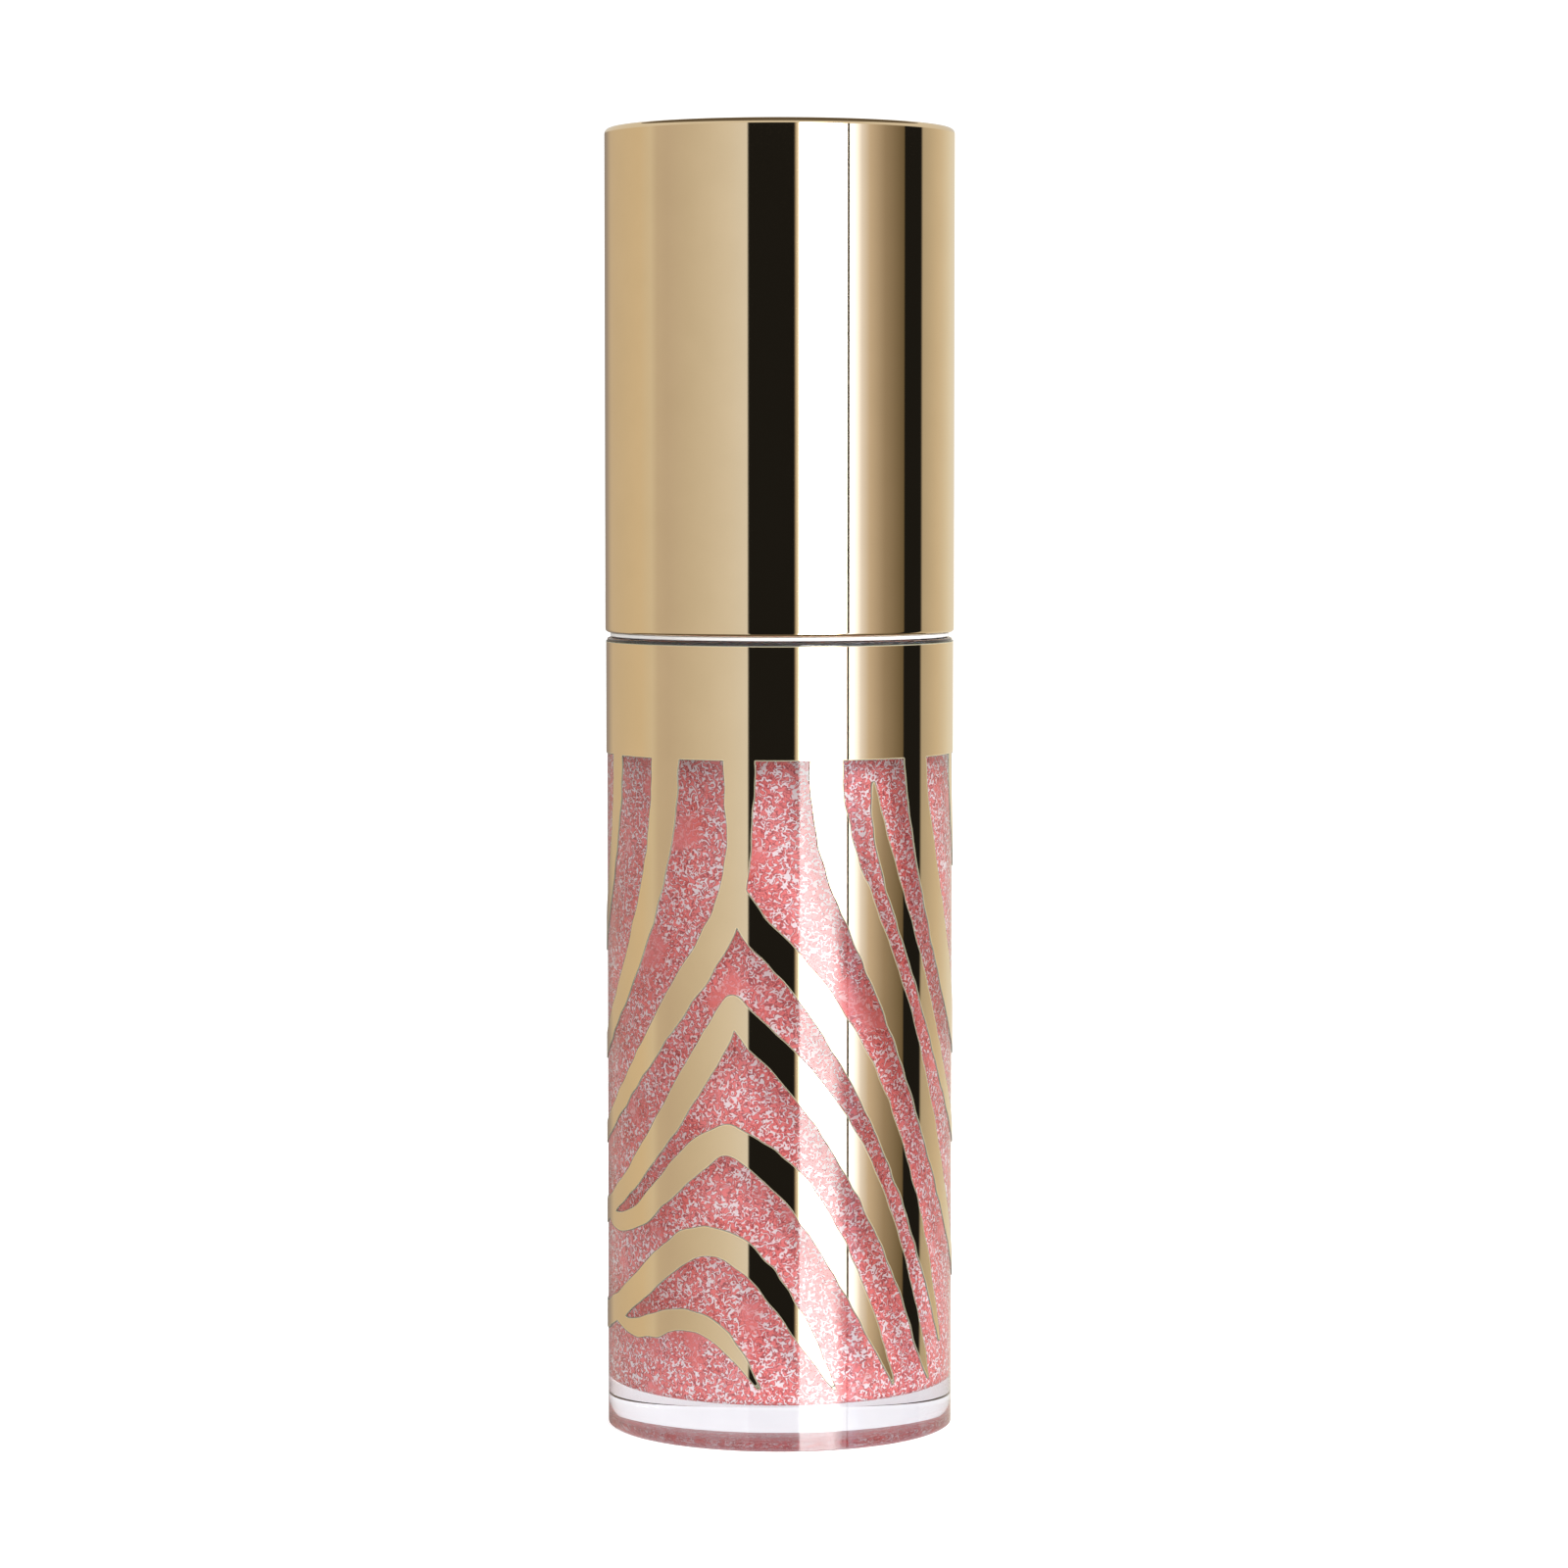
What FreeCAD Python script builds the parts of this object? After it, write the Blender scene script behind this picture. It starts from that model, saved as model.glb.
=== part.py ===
"""Lip gloss tube: clear round bottle with a gold stripe print, and a gold screw cap.

All lengths are millimetres. The tube stands on z = 0 with its axis on +Z; angles round the
wall are degrees from the front (-Y), positive towards +X.
"""

import FreeCAD, Part
import math
import os

# ---- overall ----
CAP_R = 10.0
TOTAL_H = 74.25
CAP_BOTTOM = 45.6

# ---- bottle ----
BOTTLE_R = 9.90
BOTTLE_TOP = 45.3
CAVITY_R = 7.5
BASE_T = 2.3
SHOULDER_Z = 43.0
SHOULDER_R = 8.7
EDGE_R = 0.3
RECESS_R = 8.8
RECESS_H = 0.45

# ---- printed foil ----
FOIL_T = 0.06
FOIL_TOP = 45.1
BAND_BOTTOM = 38.7

# ---- neck insert ----
NECK_R = 6.2
NECK_BORE_R = 4.6
NECK_TOP = 54.5
PLUG_BOTTOM = 41.0
WIPER_SEAT_R = 5.2
WIPER_SEAT_T = 0.6

# ---- screw thread, right-handed, single start ----
PITCH = 2.4
MALE_START_Z = 47.6
MALE_TURNS = 1.5
MALE_CREST_R = 6.8
FEMALE_BORE_R = 6.95
FEMALE_CREST_R = 6.35
FEMALE_TURNS = 1.25
FEMALE_START_DEG = 120.0
FEMALE_DROP = 0.76
ROOT_W = 1.0
CREST_W = 0.45

# ---- wiper ----
WIPER_LIP_R = 1.75
WIPER_T = 0.6

# ---- seal, stem and applicator ----
GAP = 0.05
SEAL_T = 0.6
SEAL_R = 6.15
STEM_R = 1.65
STEM_COLLAR_R = 3.0
STEM_COLLAR_T = 1.0
STEM_TOP = 62.0
SPIGOT_R = 1.1
TIP_TOP = 15.5
TIP_BOTTOM = 4.8
TIP_R = 2.4
TIP_SLANT_DEG = 23.0

# ---- gloss ----
GLOSS_LEVEL = 40.0
WELL_R = 2.65

# ---- cap ----
SHELL_T = 0.5
LINER_RIM_R = 9.72
SEAM_T = 0.25
LINER_WALL_T = 0.7
LINER_TOP = 72.6
SOCKET_R = 8.1
DECK_T = 3.2
BOSS_R = 4.2
FIT = 0.02

# ---- stripe print: brush strokes through hand-placed (angle, height, width) points ----
FALL_OUTER = [
    (-67, 39.8, 1.4), (-68, 36.6, 1.4), (-72, 33.2, 1.3), (-79, 30.2, 1.3), (-88, 28.2, 1.2),
    (-96, 27.4, 1.2),
]
FALL_LEFT = [
    (-40, 39.8, 2.1), (-41, 36.2, 2.0), (-45, 32.4, 1.8), (-52, 29.0, 1.7), (-61, 26.0, 1.5),
    (-72, 23.6, 1.3), (-84, 22.0, 1.3), (-96, 21.4, 1.3),
]
FALL_SPLIT = [
    (-13, 39.8, 1.9), (-13, 36.5, 1.7), (-13.6, 33.4, 1.4), (-16.5, 30.6, 1.7), (-23, 28.2, 1.8),
    (-33, 25.7, 1.8), (-46, 22.7, 1.5), (-60, 19.9, 1.3), (-74, 17.8, 1.1), (-88, 16.7, 1.1),
    (-96, 16.5, 1.1),
]
SPLIT_LEG = [
    (-14.5, 31.4, 1.3), (-8, 29.4, 1.8), (2, 27.6, 1.8), (13, 25.2, 1.8), (25, 22.0, 1.8),
    (37, 18.0, 1.6), (48, 13.6, 1.3), (57.5, 9.4, 0.9), (66, 5.4, 0.3),
]
FALL_CENTRE = [
    (15, 39.8, 2.0), (15.6, 36.8, 2.0), (19, 33.8, 2.1), (26, 30.6, 2.2), (36, 26.8, 2.1),
    (47, 22.4, 1.9), (58, 17.8, 1.6), (69, 13.6, 1.2), (80, 10.4, 0.9), (89, 8.8, 0.6),
    (96, 8.4, 0.6),
]
FALL_RIGHT = [
    (50, 39.8, 2.0), (51.5, 36.8, 2.0), (56, 33.4, 2.1), (63.5, 29.6, 2.2), (73, 26.0, 2.2),
    (84, 23.2, 2.0), (96, 21.8, 2.0),
]
FALL_THIN = [(77, 39.8, 0.8), (79, 36.8, 0.8), (84, 34.0, 0.8), (96, 31.6, 0.8)]
ISLAND = [
    (32, 37.4, 0.3), (33.6, 35.2, 0.8), (38.4, 32.4, 1.2), (46, 29.0, 1.2), (55, 25.4, 1.1),
    (64, 22.0, 1.0), (74, 19.0, 0.9), (85, 17.0, 0.8), (96, 16.2, 0.8),
]
CHEVRON_LEFT = [
    (-15, 25.0, 1.3), (-22, 22.9, 1.7), (-33, 19.9, 1.7), (-47, 16.7, 1.5), (-61, 14.3, 1.3),
    (-76, 12.8, 1.3), (-88, 12.2, 1.3), (-96, 12.0, 1.3),
]
CHEVRON_RIGHT = [
    (-15, 25.0, 1.3), (-8, 23.5, 1.7), (2, 21.8, 1.8), (13, 19.5, 1.8), (25, 16.3, 1.8),
    (36, 12.6, 1.5), (46, 8.6, 1.1), (53.5, 5.2, 0.8), (58, 3.4, 0.25),
]
CHEVRON_LOWER = [
    (-80, 12.5, 0.8), (-67, 12.1, 1.0), (-54, 12.7, 1.3), (-41, 14.4, 1.5), (-29, 16.3, 1.7),
    (-18, 17.5, 1.8), (-7, 16.6, 1.8), (4, 14.9, 1.8), (15, 12.2, 1.6), (25, 9.0, 1.3),
    (34, 5.8, 0.8), (40, 3.5, 0.25),
]
FORK_ARCH = [
    (-96, 6.2, 1.6), (-82, 6.4, 1.6), (-68, 7.2, 1.6), (-54, 8.6, 1.6), (-41, 10.3, 1.7),
    (-29, 11.6, 1.8), (-18, 11.6, 1.7), (-8, 10.4, 1.5), (2, 8.2, 1.3), (11, 5.6, 0.8),
    (18, 3.5, 0.25),
]
FORK_TINE = [
    (-72, 6.9, 0.8), (-58, 6.3, 1.0), (-46, 6.6, 1.3), (-34, 7.2, 1.3), (-23, 6.8, 1.2),
    (-14, 5.4, 0.8), (-7, 3.6, 0.25),
]
STROKES = [
    FALL_OUTER, FALL_LEFT, FALL_SPLIT, SPLIT_LEG, FALL_CENTRE, FALL_RIGHT, FALL_THIN, ISLAND,
    CHEVRON_LEFT, CHEVRON_RIGHT, CHEVRON_LOWER, FORK_ARCH, FORK_TINE,
]

# The strokes are drawn in front elevation and cut straight through the wall, so the back
# repeats the front mirrored; past the silhouette the drawing runs on to this half width.
REACH = 11.0


def disc_point(radius, angle_deg, z):
    """Point on a circle of the tube, angle measured from the front towards +X."""
    a = math.radians(angle_deg)
    return FreeCAD.Vector(radius * math.sin(a), -radius * math.cos(a), z)


def turned(profile):
    """Solid of revolution about Z from a closed (radius, z) polygon."""
    points = [FreeCAD.Vector(r, 0, z) for r, z in profile]
    wire = Part.makePolygon(points + [points[0]])
    return Part.Face(wire).revolve(FreeCAD.Vector(0, 0, 0), FreeCAD.Vector(0, 0, 1), 360)


def rounded(solid, radius, rings):
    """Fillet the circular edges lying at the given (radius, z) rings."""
    picked = []
    for edge in solid.Edges:
        if not isinstance(edge.Curve, Part.Circle):
            continue
        for ring_r, ring_z in rings:
            same_r = abs(edge.Curve.Radius - ring_r) < 1e-3
            same_z = abs(edge.Curve.Center.z - ring_z) < 1e-3
            if same_r and same_z:
                picked.append(edge)
    return solid.makeFillet(radius, picked)


def thread_ridge(root_r, crest_r, turns, start_z, start_deg):
    """Right-handed helical ridge whose section is a trapezium from root_r to crest_r."""
    height = PITCH * turns
    helix = Part.Wire(Part.makeHelix(PITCH, height, root_r))
    section = Part.makePolygon([
        FreeCAD.Vector(root_r, 0, -ROOT_W / 2),
        FreeCAD.Vector(crest_r, 0, -CREST_W / 2),
        FreeCAD.Vector(crest_r, 0, CREST_W / 2),
        FreeCAD.Vector(root_r, 0, ROOT_W / 2),
        FreeCAD.Vector(root_r, 0, -ROOT_W / 2),
    ])
    ridge = helix.makePipeShell([section], True, True)
    ridge = Part.makeSolid(ridge) if ridge.ShapeType == "Shell" else ridge
    ridge.rotate(FreeCAD.Vector(0, 0, 0), FreeCAD.Vector(0, 0, 1), start_deg)
    ridge.translate(FreeCAD.Vector(0, 0, start_z))
    return ridge


# ---- bottle ----
def bottle_body():
    body = turned([
        (0, 0), (BOTTLE_R, 0), (BOTTLE_R, BOTTLE_TOP), (SHOULDER_R, BOTTLE_TOP),
        (SHOULDER_R, SHOULDER_Z), (CAVITY_R, SHOULDER_Z), (CAVITY_R, BASE_T), (0, BASE_T),
    ])
    body = rounded(body, EDGE_R, [(BOTTLE_R, 0), (CAVITY_R, BASE_T)])
    body = rounded(body, 0.15, [(BOTTLE_R, BOTTLE_TOP)])
    dome_r = (RECESS_R ** 2 + RECESS_H ** 2) / (2 * RECESS_H)
    return body.cut(Part.makeSphere(dome_r, FreeCAD.Vector(0, 0, RECESS_H - dome_r)))


def neck_insert():
    skirt_r = CAVITY_R - GAP
    body = turned([
        (NECK_BORE_R, PLUG_BOTTOM + 2.0), (6.2, PLUG_BOTTOM), (skirt_r, PLUG_BOTTOM),
        (skirt_r, SHOULDER_Z + GAP), (SHOULDER_R - GAP, SHOULDER_Z + GAP),
        (SHOULDER_R - GAP, BOTTLE_TOP), (NECK_R, BOTTLE_TOP), (NECK_R, NECK_TOP),
        (WIPER_SEAT_R, NECK_TOP), (WIPER_SEAT_R, NECK_TOP - WIPER_SEAT_T),
        (NECK_BORE_R, NECK_TOP - WIPER_SEAT_T),
    ])
    ridge = thread_ridge(NECK_R - 0.12, MALE_CREST_R, MALE_TURNS, MALE_START_Z, 0)
    return body.fuse(ridge)


def wiper():
    outer = NECK_BORE_R - FIT
    inner = outer - WIPER_T
    top = NECK_TOP - FIT
    seat = NECK_TOP - WIPER_SEAT_T + FIT
    return turned([
        (outer, 47.2), (outer, seat), (WIPER_SEAT_R - FIT, seat), (WIPER_SEAT_R - FIT, top),
        (inner, top), (inner, 47.8), (WIPER_LIP_R, 46.1), (WIPER_LIP_R, 45.6), (3.6, 46.6),
    ])


def gloss_fill():
    r = CAVITY_R - FIT
    bottom = BASE_T + FIT
    body = turned([(0, bottom), (r, bottom), (r, GLOSS_LEVEL), (0, GLOSS_LEVEL)])
    body = rounded(body, EDGE_R, [(r, bottom)])
    well = Part.makeCylinder(WELL_R, GLOSS_LEVEL, FreeCAD.Vector(0, 0, TIP_BOTTOM - 0.3))
    return body.cut(well)


# ---- printed foil ----
def in_elevation(point):
    """Front-elevation place of an unrolled wall point (x arc length, y height)."""
    turn = point.x / BOTTLE_R
    quarter = math.pi / 2
    if abs(turn) <= quarter:
        x = BOTTLE_R * math.sin(turn)
    else:
        x = math.copysign(BOTTLE_R + 5 * (abs(turn) - quarter), turn)
    return FreeCAD.Vector(x, -REACH, point.y)


def stroke_side(points):
    """One smooth curve through the points, as short edges of at most three spans."""
    curve = Part.BSplineCurve()
    curve.interpolate(points)
    marks = curve.getKnots()
    stops = marks[:-1:3] + [marks[-1]]
    return [curve.toShape(start, stop) for start, stop in zip(stops, stops[1:])]


def stroke_prism(knots):
    """A tapering brush stroke with round ends, as a prism along Y through the whole tube."""
    middle = [FreeCAD.Vector(math.radians(a) * BOTTLE_R, z, 0) for a, z, _ in knots]
    left = []
    right = []
    tips = []
    for index, (point, knot) in enumerate(zip(middle, knots)):
        along = middle[min(index + 1, len(middle) - 1)] - middle[max(index - 1, 0)]
        along.normalize()
        along.multiply(knot[2] / 2)
        side = FreeCAD.Vector(-along.y, along.x, 0)
        left.append(in_elevation(point + side))
        right.append(in_elevation(point - side))
        if index == 0:
            tips.append(in_elevation(point - along))
        elif index == len(middle) - 1:
            tips.append(in_elevation(point + along))
    edges = stroke_side(left) + stroke_side(right)
    edges.append(Part.Arc(left[-1], tips[1], right[-1]).toShape())
    edges.append(Part.Arc(right[0], tips[0], left[0]).toShape())
    outline = Part.Wire(Part.__sortEdges__(edges))
    return Part.Face(outline).extrude(FreeCAD.Vector(0, 2 * REACH, 0))


def foil_tube():
    foot = FreeCAD.Vector(0, 0, EDGE_R)
    height = FOIL_TOP - EDGE_R
    outer = Part.makeCylinder(BOTTLE_R + FOIL_T, height, foot)
    tube = outer.cut(Part.makeCylinder(BOTTLE_R, height, foot))
    tube.rotate(FreeCAD.Vector(0, 0, 0), FreeCAD.Vector(0, 0, 1), 90)
    return tube


def foil_nodes():
    corner = FreeCAD.Vector(-REACH, -REACH, BAND_BOTTOM)
    band = Part.makeBox(2 * REACH, 2 * REACH, FOIL_TOP + 1 - BAND_BOTTOM, corner)
    drawing = band.multiFuse([stroke_prism(knots) for knots in STROKES]).removeSplitter()
    seeds = {
        "foil_band": (0, 42.0),
        "foil_island": (46, 29.0),
        "foil_chevron": (-22, 22.9),
        "foil_fork": (-29, 11.6),
    }
    pieces = foil_tube().common(drawing).Solids
    nodes = {}
    for name, (angle, z) in seeds.items():
        seed = disc_point(BOTTLE_R + FOIL_T / 2, angle, z)
        nodes[name] = [piece for piece in pieces if piece.isInside(seed, 1e-5, True)][0]
    return nodes


# ---- seal, stem and applicator ----
SEAL_BOTTOM = NECK_TOP + GAP
DECK_Z = SEAL_BOTTOM + SEAL_T + GAP
COLLAR_Z = DECK_Z + 0.8


def seal_washer():
    bore = STEM_R + GAP
    return turned([
        (bore, SEAL_BOTTOM), (SEAL_R, SEAL_BOTTOM), (SEAL_R, SEAL_BOTTOM + SEAL_T),
        (bore, SEAL_BOTTOM + SEAL_T),
    ])


def stem():
    return turned([
        (0, 11.0), (SPIGOT_R, 11.0), (SPIGOT_R, TIP_TOP + GAP), (STEM_R, TIP_TOP + GAP),
        (STEM_R, COLLAR_Z), (STEM_COLLAR_R, COLLAR_Z), (STEM_COLLAR_R, COLLAR_Z + STEM_COLLAR_T),
        (STEM_R, COLLAR_Z + STEM_COLLAR_T), (STEM_R, STEM_TOP - 0.4), (STEM_R - 0.4, STEM_TOP),
        (0, STEM_TOP),
    ])


def applicator_tip():
    """Slanted flocked tip: a rounded bullet with one side cut away on a slope."""
    bullet = turned([
        (0, TIP_BOTTOM), (TIP_R, TIP_BOTTOM), (TIP_R, TIP_TOP - 2.0), (STEM_R + 0.15, TIP_TOP),
        (0, TIP_TOP),
    ])
    bullet = rounded(bullet, 2.1, [(TIP_R, TIP_BOTTOM)])
    slope = Part.makeBox(8, 8, 14, FreeCAD.Vector(-4, -8, -2))
    slope.rotate(FreeCAD.Vector(0, 0, 0), FreeCAD.Vector(1, 0, 0), TIP_SLANT_DEG)
    slope.translate(FreeCAD.Vector(0, 0.9, TIP_BOTTOM))
    socket = Part.makeCylinder(SPIGOT_R + GAP, 10, FreeCAD.Vector(0, 0, 10.95))
    return bullet.cut(slope).cut(socket)


# ---- cap ----
def cap_shell():
    inner = CAP_R - SHELL_T
    roof = TOTAL_H - SHELL_T
    body = turned([
        (0, roof), (inner, roof), (inner, CAP_BOTTOM), (CAP_R, CAP_BOTTOM), (CAP_R, TOTAL_H),
        (0, TOTAL_H),
    ])
    body = rounded(body, EDGE_R, [(CAP_R, TOTAL_H)])
    return rounded(body, 0.2, [(CAP_R, CAP_BOTTOM)])


def inner_cap():
    """Threaded socket and deck inside a liner tube, with a boss that holds the stem's collar."""
    wall = CAP_R - SHELL_T - FIT
    inside = wall - LINER_WALL_T
    low = CAP_BOTTOM - SEAM_T
    deck_top = DECK_Z + DECK_T
    body = turned([
        (inside, low), (LINER_RIM_R, low), (LINER_RIM_R, CAP_BOTTOM - FIT), (wall, CAP_BOTTOM - FIT),
        (wall, LINER_TOP), (inside, LINER_TOP), (inside, deck_top), (BOSS_R, deck_top),
        (BOSS_R, STEM_TOP + 1.5), (0, STEM_TOP + 1.5), (0, STEM_TOP + GAP),
        (STEM_R + GAP, STEM_TOP + GAP), (STEM_R + GAP, COLLAR_Z + STEM_COLLAR_T + GAP),
        (STEM_COLLAR_R + GAP, COLLAR_Z + STEM_COLLAR_T + GAP), (STEM_COLLAR_R + GAP, COLLAR_Z - GAP),
        (STEM_R + GAP, COLLAR_Z - GAP), (STEM_R + GAP, DECK_Z), (FEMALE_BORE_R, DECK_Z),
        (FEMALE_BORE_R, low), (SOCKET_R, low), (SOCKET_R, DECK_Z - 1.5), (inside, DECK_Z - 1.5),
    ])
    start_z = MALE_START_Z - FEMALE_DROP + PITCH * FEMALE_START_DEG / 360
    ridge = thread_ridge(FEMALE_BORE_R + 0.12, FEMALE_CREST_R, FEMALE_TURNS, start_z, FEMALE_START_DEG)
    return body.fuse(ridge)


def main():
    os.makedirs("parts", exist_ok=True)
    nodes = {
        "bottle_body": bottle_body(),
        "neck_insert": neck_insert(),
        "wiper": wiper(),
        "gloss_fill": gloss_fill(),
        "seal_washer": seal_washer(),
        "stem": stem(),
        "applicator_tip": applicator_tip(),
        "cap_shell": cap_shell(),
        "inner_cap": inner_cap(),
    }
    nodes.update(foil_nodes())
    for name, shape in nodes.items():
        box = shape.BoundBox
        print(f"{name}: solids {len(shape.Solids)} valid {shape.isValid()} "
              f"volume {shape.Volume:.1f} z {box.ZMin:.2f} to {box.ZMax:.2f} r {box.XMax:.2f}")
        shape.exportStep(f"parts/{name}.step")


main()
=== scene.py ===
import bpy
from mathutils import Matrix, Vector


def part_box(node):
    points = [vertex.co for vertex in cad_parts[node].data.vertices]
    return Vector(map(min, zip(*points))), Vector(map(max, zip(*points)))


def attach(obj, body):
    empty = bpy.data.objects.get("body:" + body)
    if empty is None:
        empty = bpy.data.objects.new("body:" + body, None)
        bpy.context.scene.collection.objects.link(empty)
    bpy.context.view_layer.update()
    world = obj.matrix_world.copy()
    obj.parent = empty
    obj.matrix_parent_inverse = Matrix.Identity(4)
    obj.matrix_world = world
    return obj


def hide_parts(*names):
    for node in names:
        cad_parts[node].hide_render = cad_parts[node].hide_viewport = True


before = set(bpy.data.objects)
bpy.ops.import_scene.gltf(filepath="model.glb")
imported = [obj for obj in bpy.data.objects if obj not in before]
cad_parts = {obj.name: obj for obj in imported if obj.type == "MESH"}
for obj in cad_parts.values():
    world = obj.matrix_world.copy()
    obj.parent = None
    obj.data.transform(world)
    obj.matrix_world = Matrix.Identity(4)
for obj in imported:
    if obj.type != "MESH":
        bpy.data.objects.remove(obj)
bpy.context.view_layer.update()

import math
import random

import bmesh
import bpy
from mathutils import Vector
from mathutils.geometry import delaunay_2d_cdt
from mathutils.kdtree import KDTree
from mathutils.noise import noise as noise_value

MM = 0.001
SEGMENTS = 256
SLIM_SEGMENTS = 96
SUPPORT = 1.08  # how far along the wall the ring beside a fillet lies, over the fillet's reach

# ---- sizes in millimetres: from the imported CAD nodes, then what their boxes don't say ----
CAP_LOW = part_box("cap_shell")[0].z / MM
CAP_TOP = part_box("cap_shell")[1].z / MM
CAP_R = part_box("cap_shell")[1].x / MM
BOTTLE_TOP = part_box("bottle_body")[1].z / MM
FOIL_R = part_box("foil_band")[1].x / MM
FOIL_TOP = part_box("foil_band")[1].z / MM
GLOSS_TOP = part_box("gloss_fill")[1].z / MM
NECK_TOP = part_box("neck_insert")[1].z / MM

# bottle and print
FOIL_T = 0.06
BOTTLE_R = FOIL_R - FOIL_T
CAVITY_R = 7.5
CAVITY_FLOOR = 2.3
SHOULDER_R = 8.7
SHOULDER_Z = 43.0
RECESS_R = 8.8
RECESS_H = 0.45
BAND_BOTTOM = 38.7

# clearances between pieces, and how far gloss and print reach into the clear wall
GAP = 0.05
FIT = 0.02
CONTACT = 0.02

# gloss
WELL_R = 2.65
WELL_FLOOR = 4.5
MENISCUS = 0.35

# neck, wiper and screw thread
NECK_R = 6.2
NECK_BORE_R = 4.6
PLUG_BOTTOM = 41.0
WIPER_SEAT_R = 5.2
WIPER_SEAT_T = 0.6
WIPER_T = 0.6
WIPER_LIP_R = 1.75
WIPER_LIP_Z = 45.6
PITCH = 2.4
ROOT_W = 1.0
CREST_W = 0.45
THREAD_ROOT = 0.08
MALE_CREST_R = 6.8
MALE_START_Z = 47.6
MALE_TURNS = 1.5
FEMALE_BORE_R = 6.95
FEMALE_CREST_R = 6.35
FEMALE_TURNS = 1.25
FEMALE_START_DEG = 120
FEMALE_DROP = 0.76

# seal, stem and applicator
SEAL_T = 0.6
SEAL_R = 6.15
SEAL_BOTTOM = NECK_TOP + GAP
STEM_R = 1.65
STEM_TOP = 62.0
COLLAR_R = 3.0
COLLAR_T = 1.0
SPIGOT_R = 1.1
SPIGOT_BOTTOM = 11.0
TIP_TOP = 15.5
TIP_BOTTOM = 4.8
CORE_R = 2.24
CORE_BOTTOM = 4.95
TIP_SLANT_DEG = 23

# cap and liner
SHELL_T = 0.5
SEAM_T = 0.25
LINER_WALL_T = 0.7
DECK_T = 3.2
LINER_R = CAP_R - SHELL_T - FIT
LINER_RIM_R = 9.72
LINER_LOW = CAP_LOW - SEAM_T
LINER_BORE_R = LINER_R - LINER_WALL_T
LINER_TOP = 72.6
SOCKET_R = 8.1
DECK_Z = SEAL_BOTTOM + SEAL_T + GAP
DECK_TOP = DECK_Z + DECK_T
SOCKET_TOP = DECK_Z - 1.5
COLLAR_Z = DECK_Z + 0.8
BOSS_R = 4.2
BOSS_TOP = STEM_TOP + 1.5


# ---------------------------------------------------------------- mesh helpers
def new_object(name, vertices, faces):
    """Mesh object from millimetre vertices."""
    mesh = bpy.data.meshes.new(name)
    mesh.from_pydata([(x * MM, y * MM, z * MM) for x, y, z in vertices], [], faces)
    mesh.validate()
    obj = bpy.data.objects.new(name, mesh)
    bpy.context.scene.collection.objects.link(obj)
    return obj


def smooth(obj, angle_deg=32):
    """Smooth shading, with edges sharper than the angle kept sharp."""
    obj.data.shade_smooth()
    obj.data.set_sharp_from_angle(angle=math.radians(angle_deg))
    return obj


def softened(profile, steps=6):
    """Closed (r, z, fillet) profile with each filleted corner turned into a small arc."""
    out = []
    count = len(profile)
    for i, (r, z, fillet) in enumerate(profile):
        here = Vector((r, z))
        if fillet <= 0:
            out.append(here)
            continue
        before = (Vector(profile[i - 1][:2]) - here).normalized()
        after = (Vector(profile[(i + 1) % count][:2]) - here).normalized()
        half = before.angle(after) / 2
        reach = fillet / math.tan(half)
        centre = here + (before + after).normalized() * fillet / math.sin(half)
        start = here + before * reach - centre
        end = here + after * reach - centre
        sweep = start.angle_signed(end)
        # a ring just outside each end of the arc keeps the wall beside it shaded straight
        out.append(here + before * reach * SUPPORT)
        for k in range(steps + 1):
            angle = -sweep * k / steps
            turned = Vector((
                start.x * math.cos(angle) - start.y * math.sin(angle),
                start.x * math.sin(angle) + start.y * math.cos(angle),
            ))
            out.append(centre + turned)
        out.append(here + after * reach * SUPPORT)
    return out


def lathe(name, profile, segments=SEGMENTS, angle_deg=32):
    """Closed solid of revolution; points on the axis become poles."""
    points = softened(profile)
    vertices = []
    rings = []
    for p in points:
        if p.x < 1e-6:
            rings.append([len(vertices)])
            vertices.append((0, 0, p.y))
            continue
        rings.append(list(range(len(vertices), len(vertices) + segments)))
        for k in range(segments):
            a = 2 * math.pi * k / segments
            vertices.append((p.x * math.sin(a), -p.x * math.cos(a), p.y))
    faces = []
    for i, low in enumerate(rings):
        high = rings[(i + 1) % len(rings)]
        if len(low) == 1 and len(high) == 1:
            continue
        for k in range(segments):
            n = (k + 1) % segments
            if len(low) == 1:
                faces.append((low[0], high[n], high[k]))
            elif len(high) == 1:
                faces.append((low[k], low[n], high[0]))
            else:
                faces.append((low[k], low[n], high[n], high[k]))
    obj = new_object(name, vertices, faces)
    face_outwards(obj)
    return smooth(obj, angle_deg)


def face_outwards(obj):
    bm = bmesh.new()
    bm.from_mesh(obj.data)
    bmesh.ops.recalc_face_normals(bm, faces=bm.faces)
    bm.to_mesh(obj.data)
    bm.free()


def joined(name, parts):
    """One object from several, keeping their sharp edges and materials."""
    with bpy.context.temp_override(active_object=parts[0], selected_editable_objects=parts,
                                   selected_objects=parts):
        bpy.ops.object.join()
    parts[0].name = name
    return parts[0]


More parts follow.
